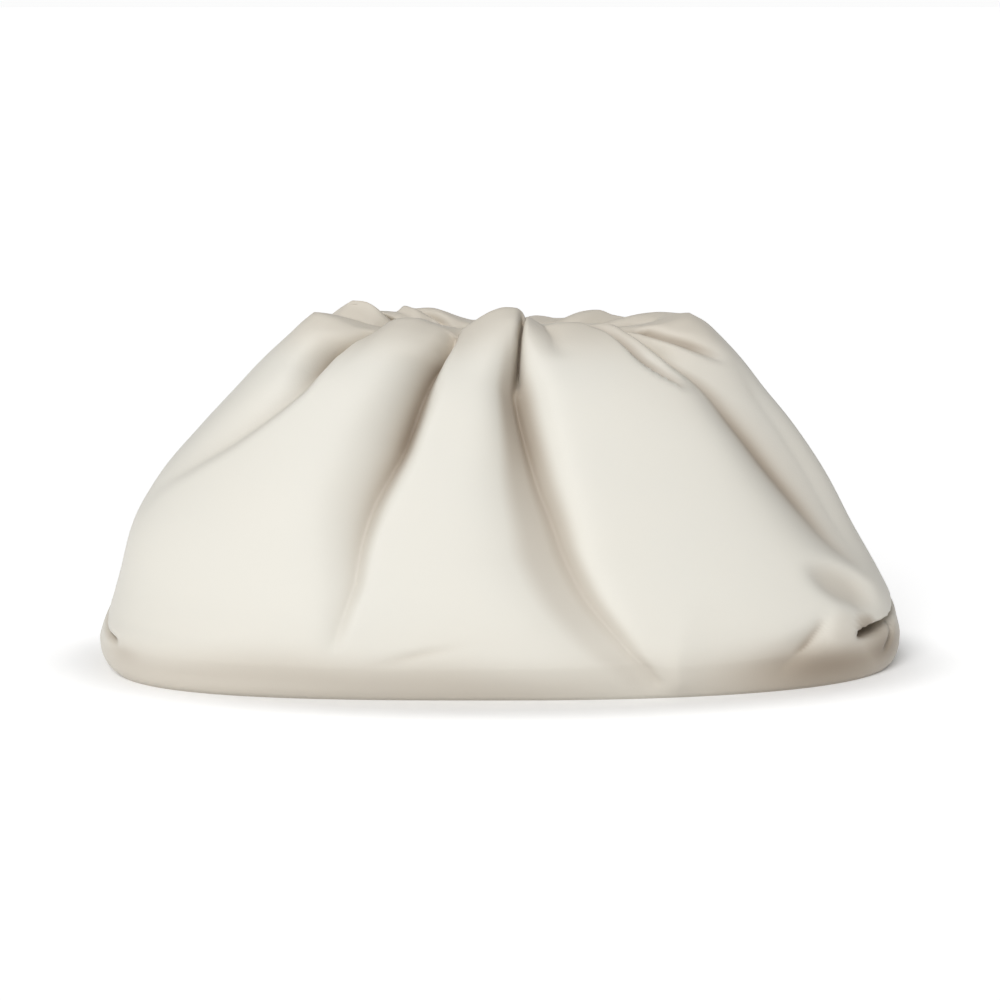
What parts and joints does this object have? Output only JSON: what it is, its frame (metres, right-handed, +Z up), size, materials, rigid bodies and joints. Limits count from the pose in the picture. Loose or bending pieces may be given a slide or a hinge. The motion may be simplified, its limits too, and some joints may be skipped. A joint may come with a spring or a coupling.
{
  "type": "gathered leather clutch bag",
  "caption": "Soft leather clutch with gathered front and back, rolled lips over a hidden frame, and tucked lower corners.",
  "frame": {"origin": "middle of the foot, on the surface that the bag stands on", "axes": "+Z up, +X along the bag to the right as seen from the front, front facing -Y"},
  "size_m": [0.3797, 0.1594, 0.1672],
  "materials": {
    "leather": "smooth soft nappa, satin",
    "frame": "brushed"
  },
  "bodies": {
    "root": {"front_panel": "leather", "back_panel": "leather", "base_panel": "leather", "mouth_frame": "frame"}
  },
  "joints": []
}
